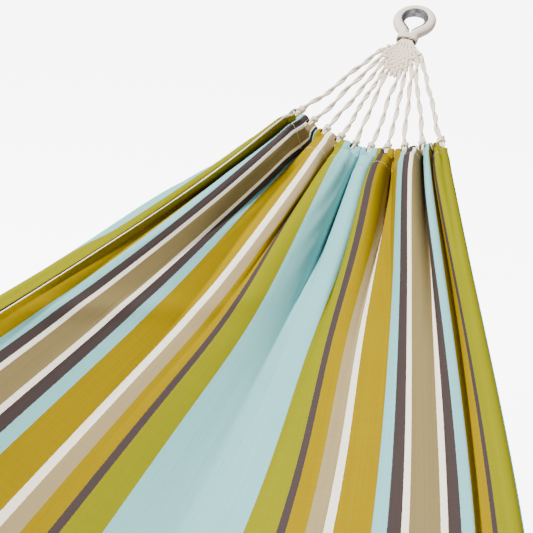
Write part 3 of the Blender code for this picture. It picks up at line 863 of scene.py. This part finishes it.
def fold_lift(width, along):
    """How far the cloth stands off the trough's even shape, and the count of pleats up to each yarn."""
    near = hem_nearness(along)
    pleat, pleat_turns = pleats(width, along)
    lift = (pleat + gathers(width, along)) * (1 - FLATTER_MIDDLE * np.exp(-((width / 0.14) ** 2)))
    depth = FOLD_DEPTH_MIDDLE + (FOLD_DEPTH_HEM - FOLD_DEPTH_MIDDLE) * np.exp(-((near / 0.9) ** 4))
    deep = depth * smooth_step(near / 0.10) * np.sin(math.pi * deep_fold(width)[0]) ** 0.8
    seam = SEAM_DIP * np.exp(-(((near - SEAM_AT) / 0.004) ** 2))
    return lift + swells(width, along) + creases(width, along) - deep - seam, pleat_turns


def pinched(width, along, pleat_turns):
    """The crests of the pleats bulge over their valleys, so a valley's walls stand close together."""
    near = hem_nearness(along)
    fade = np.exp(-((near / (1.2 * PLEAT_FADE)) ** 2))
    pinch = PLEAT_PINCH * fade * smooth_step((1 - np.abs(width)) / 0.06)
    return width + pinch * np.sin(2 * math.pi * pleat_turns) / (math.pi * PLEATS)


def bed_surface(width, along):
    """Points of the hung cloth. Its outermost band rolls outward and down, away from the lying side: on the
    right it does so from the hem on, and on the left only further along."""
    near = hem_nearness(along)
    rolled = np.where(width > 0, np.maximum(smooth_step((near - 0.06) / CURL_RUN_LEFT), 0.02), 1.0)
    band = 1 - (1 - EDGE_BAND) * rolled
    inner = np.clip(width, -band, band)
    lift, pleat_turns = fold_lift(inner, along)
    across = drawn_across(pinched(inner, along, pleat_turns), along)
    step = 0.004
    here = trough(across, along)
    aside = unit(trough(across + step, along) - trough(across - step, along))
    ahead = unit(trough(across, along + step) - trough(across, along - step))
    normal = unit(np.cross(ahead, aside))
    normal = normal * np.sign(normal[..., 2:])
    here = here + normal * lift[..., None]
    beyond = np.clip((np.abs(width) - band) / (1 - band), 0, 1)
    angle = beyond * CURL_TURN * np.sqrt(rolled)
    middle = (1 - band) * HALF_WIDTH / (CURL_TURN * np.sqrt(rolled))
    radius = middle * (1 + CURL_TIGHTENING * (1 - 2 * beyond)) * smooth_step(beyond / 0.01)
    outward = np.sign(width)[..., None] * aside
    sunk = middle * (1 + CURL_TIGHTENING)
    drop = (sunk * smooth_step(beyond / 0.01) - radius * np.cos(angle))[..., None]
    return here + outward * (radius * np.sin(angle))[..., None] - normal * drop


# The hem turned over the rope: up the bed's face, round the rope, and back under the bed to the seam.
CASING_TURNS = np.radians(np.linspace(CASING_FROM, CASING_TO, CASING_ROWS - UNDER_ROWS))


def casing_rows(end, widths):
    """Rows of cloth from the top of the bed's end round the hem rope to the seam below, and how far across
    the hem each yarn of them lies."""
    along = 0.0 if end == "head" else CLOTH_LENGTH
    full = np.full_like(widths, along)
    sense = 1 if end == "head" else -1
    band = np.where(widths > 0, 1.0, EDGE_BAND)
    inner = np.clip(widths, -band, band)
    tucked = smooth_step((np.abs(widths) - band) / np.maximum(1 - band, 1e-6) * 2)
    pleat_turns = fold_lift(inner, full)[1]
    across = drawn_across(pinched(inner, full, pleat_turns), full) * HEM_SHARE * sense
    across = across * (1 - TUCK_SHARE * tucked)
    centre = hem_point(across)
    uphill, off = hem_frame(across)[1:]
    to_cord = np.abs(np.subtract.outer(across, cord_shares)).min(1) * HEM_HALF_GIRTH
    round_cord = np.exp(-((to_cord / 0.010) ** 2))
    swell = CASING_SWELL * folds(pleat_turns) * (1 - round_cord)
    radius = (CASING_RADIUS * (1 + swell) * (1 - 0.6 * tucked))[:, None]
    rows = [centre + radius * (off * math.sin(t) - uphill * math.cos(t)) for t in CASING_TURNS]
    for back in np.linspace(0.004, SEAM_AT + 0.004, UNDER_ROWS):
        place = full + back * sense
        under = bed_surface(widths, place)
        lower = bed_surface(widths, place + 0.002 * sense)
        aside = np.gradient(under, axis=0)
        normal = unit(np.cross(lower - under, aside))
        normal = normal * np.sign(normal[:, 2:])
        rows.append(lie_at(end, under - normal * LAYER_GAP))
    return [lie_at(end, row) for row in rows], across


even = np.linspace(0, 1, ROWS)
stations = CLOTH_LENGTH * (even - 0.72 * np.sin(2 * math.pi * even) / (2 * math.pi))
widths = np.linspace(-1, 1, COLUMNS)
bed_rows = bed_surface(*np.meshgrid(widths, stations))
head_rows, head_across = casing_rows("head", widths)
foot_rows, foot_across = casing_rows("foot", widths)
points = np.concatenate([head_rows[::-1], bed_rows, foot_rows])
outside = np.concatenate([
    -distance_along(np.array([row[COLUMNS // 2] for row in head_rows]))[::-1] - CASING_LEAD,
    stations,
    CLOTH_LENGTH + CASING_LEAD + distance_along(np.array([row[COLUMNS // 2] for row in foot_rows])),
])
faces = grid_faces(len(points), COLUMNS, False)
map_points = np.stack(np.broadcast_arrays(widths[None] * HALF_WIDTH, outside[:, None]), -1).reshape(-1, 2)

# A slot is left open in the hem's upper face for each cord, as wide as the cord needs.
row_of = faces[:, 0] // COLUMNS
column_of = faces[:, 0] % COLUMNS
turn_index = np.where(row_of < CASING_ROWS, CASING_ROWS - 1 - row_of, row_of - CASING_ROWS - ROWS)
in_turn = (turn_index >= 0) & (turn_index < len(CASING_TURNS) - 1)
turn_at = np.degrees(CASING_TURNS[np.clip(turn_index, 0, len(CASING_TURNS) - 1)])
hem_across = np.where(row_of < CASING_ROWS, head_across[column_of], foot_across[column_of])
to_cord = np.abs(np.subtract.outer(hem_across, cord_shares)).min(1) * HEM_HALF_GIRTH
is_slot = in_turn & (turn_at > SLOT_FROM) & (turn_at < SLOT_TO) & (to_cord < SLOT_HALF_WIDTH)
faces = faces[~is_slot]
bed = make_piece("canvas_bed", [(points.reshape(-1, 3), faces, map_points[faces.ravel()])], striped)
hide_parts("bed_cloth", "head_hem", "foot_hem")
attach(bed, "hammock")

# Hem stitching: each hem is held by one row of lockstitches through both layers, near its raw edge.
STITCH_LENGTH = 0.0046
STITCH_GAP = 0.0014
STITCH_RADIUS = 0.00055
SEAM_POINTS = 2400
THREAD_TAN = (0.62, 0.50, 0.30, 1)

thread_finish = cotton("sewing thread", THREAD_TAN, 0.0008, 2.0, relief=0.0001)
for end in ("head", "foot"):
    along = SEAM_AT if end == "head" else CLOTH_LENGTH - SEAM_AT
    seam_widths = np.linspace(-EDGE_BAND, EDGE_BAND, SEAM_POINTS)
    seam = bed_surface(seam_widths, np.full_like(seam_widths, along))
    seam = seam + [0, 0, 1] * np.array([STITCH_RADIUS * 1.2])
    flat = (seam_widths - seam_widths[0]) * HALF_WIDTH
    stitches = []
    for start in np.arange(0, flat[-1] - STITCH_LENGTH, STITCH_LENGTH):
        places = np.linspace(start, start + STITCH_LENGTH - STITCH_GAP, 5)
        line = np.stack([np.interp(places, flat, seam[:, k]) for k in range(3)], axis=1)
        line[[0, -1], 2] -= STITCH_RADIUS * 1.5
        stitches.append(tube(line, STITCH_RADIUS, 5))
    row = make_piece(end + "_hem_stitches", stitches, thread_finish)
    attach(row, "hammock")

# Edges: each long side of the cloth is rolled over a filler cord and overcast, so it can't fray.
EDGE_RADIUS = 0.0026
EDGE_STITCH = 0.0065
EDGE_SIDES = 10
EDGE_BLUE = (0.20, 0.46, 0.46, 1)

edge_finish = cotton("edge binding", EDGE_BLUE, 0.0032, 2.0, depth=0.3)
for side, node in ((1, "left_selvage"), (-1, "right_selvage")):
    column = -1 if side > 0 else 0
    path = respaced(bed_rows[:, column], 0.0035)
    stitch = 1 + 0.16 * np.abs(np.sin(math.pi * distance_along(path) / EDGE_STITCH))
    skin = tube(path, EDGE_RADIUS * stitch, EDGE_SIDES)
    edge = make_piece(("left" if side > 0 else "right") + "_rolled_edge", [skin], edge_finish)
    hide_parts(node)
    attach(edge, "hammock")

# Studio: a plain pale floor well below the hammock, clear from beneath, with a soft lamp high above the
# hammock's left side and a weak, broad one beyond its foot end. The whole room gives a little even light.
FLOOR_DROP = 0.9
FLOOR_GLOW = 7.0
FLOOR_PALE = (0.93, 0.93, 0.93, 1)
FLOOR_EDGES = ((-14, -12), (11, -12), (11, 12), (-14, 12))
ROOM_LIGHT = 0.42
MID_BED = (-HALF_SPAN, 0, BED_LOW)

mesh = bpy.data.meshes.new("studio_floor")
low = float(cad_low[2]) - FLOOR_DROP
mesh.from_pydata([(x, y, low) for x, y in FLOOR_EDGES], [], [(0, 1, 2, 3)])
floor = bpy.data.objects.new("studio_floor", mesh)
bpy.context.scene.collection.objects.link(floor)
floor_finish = bpy.data.materials.new("pale floor")
floor_finish.use_nodes = True
tree = floor_finish.node_tree
floor_shader = tree.nodes["Principled BSDF"]
floor_shader.inputs["Base Color"].default_value = FLOOR_PALE
floor_shader.inputs["Roughness"].default_value = 0.9
seen = tree.nodes.new("ShaderNodeLightPath").outputs["Is Camera Ray"]
glow = put(tree, "ShaderNodeMath", {"operation": "MULTIPLY"}, _0=seen, _1=FLOOR_GLOW)
tree.links.new(glow.outputs[0], floor_shader.inputs["Emission Strength"])
floor_shader.inputs["Emission Color"].default_value = (1, 1, 1, 1)
under = tree.nodes.new("ShaderNodeNewGeometry").outputs["Backfacing"]
clear = put(tree, "ShaderNodeMath", {"operation": "SUBTRACT"}, _0=1.0, _1=under).outputs[0]
tree.links.new(clear, floor_shader.inputs["Alpha"])
mesh.materials.append(floor_finish)

world = bpy.data.worlds.new("studio light")
world.use_nodes = True
world.node_tree.nodes["Background"].inputs[0].default_value = (1.0, 1.0, 1.0, 1)
seen = world.node_tree.nodes.new("ShaderNodeLightPath").outputs["Is Camera Ray"]
strength = put(
    world.node_tree, "ShaderNodeMath", {"operation": "MULTIPLY_ADD"}, _0=seen, _1=FLOOR_GLOW, _2=ROOM_LIGHT
).outputs[0]
world.node_tree.links.new(strength, world.node_tree.nodes["Background"].inputs[1])
bpy.context.scene.world = world


def soft_lamp(name, place, size, watts):
    """A round lamp of the given size across, turned to the middle of the bed."""
    data = bpy.data.lights.new(name, "AREA")
    data.shape = "DISK"
    data.size = size
    data.energy = watts
    lamp = bpy.data.objects.new(name, data)
    bpy.context.scene.collection.objects.link(lamp)
    lamp.location = place
    lamp.rotation_euler = Vector(np.subtract(MID_BED, place)).to_track_quat("-Z", "Y").to_euler()


soft_lamp("key_lamp", place=(-1.4, 1.8, 3.0), size=0.8, watts=445)
soft_lamp("fill_lamp", place=(-3.6, -2.2, 1.8), size=2.2, watts=30)

# Viewer: it looks from above the bed, just past its middle, toward the head end and down, and is held a
# little to one side.
VIEW_PLACE = (-1.718, -0.255, 0.284)
VIEW_YAW = math.radians(19.1)
VIEW_PITCH = math.radians(-32.9)
VIEW_ROLL = math.radians(5.9)
VIEW_LENS = 41.36

level_way = (math.cos(VIEW_YAW), math.sin(VIEW_YAW), 0.0)
forward = math.cos(VIEW_PITCH) * np.array(level_way) + [0, 0, math.sin(VIEW_PITCH)]
level = unit(np.cross(forward, [0, 0, 1]))
upright = np.cross(level, forward)
right = level * math.cos(VIEW_ROLL) + upright * math.sin(VIEW_ROLL)
top = upright * math.cos(VIEW_ROLL) - level * math.sin(VIEW_ROLL)
lens = bpy.data.cameras.new("viewer")
lens.lens = VIEW_LENS
lens.sensor_width = 36
viewer = bpy.data.objects.new("viewer", lens)
bpy.context.scene.collection.objects.link(viewer)
stand = np.eye(4)
stand[:3, 0], stand[:3, 1], stand[:3, 2], stand[:3, 3] = right, top, -forward, VIEW_PLACE
viewer.matrix_world = Matrix(stand.tolist())
bpy.context.scene.camera = viewer
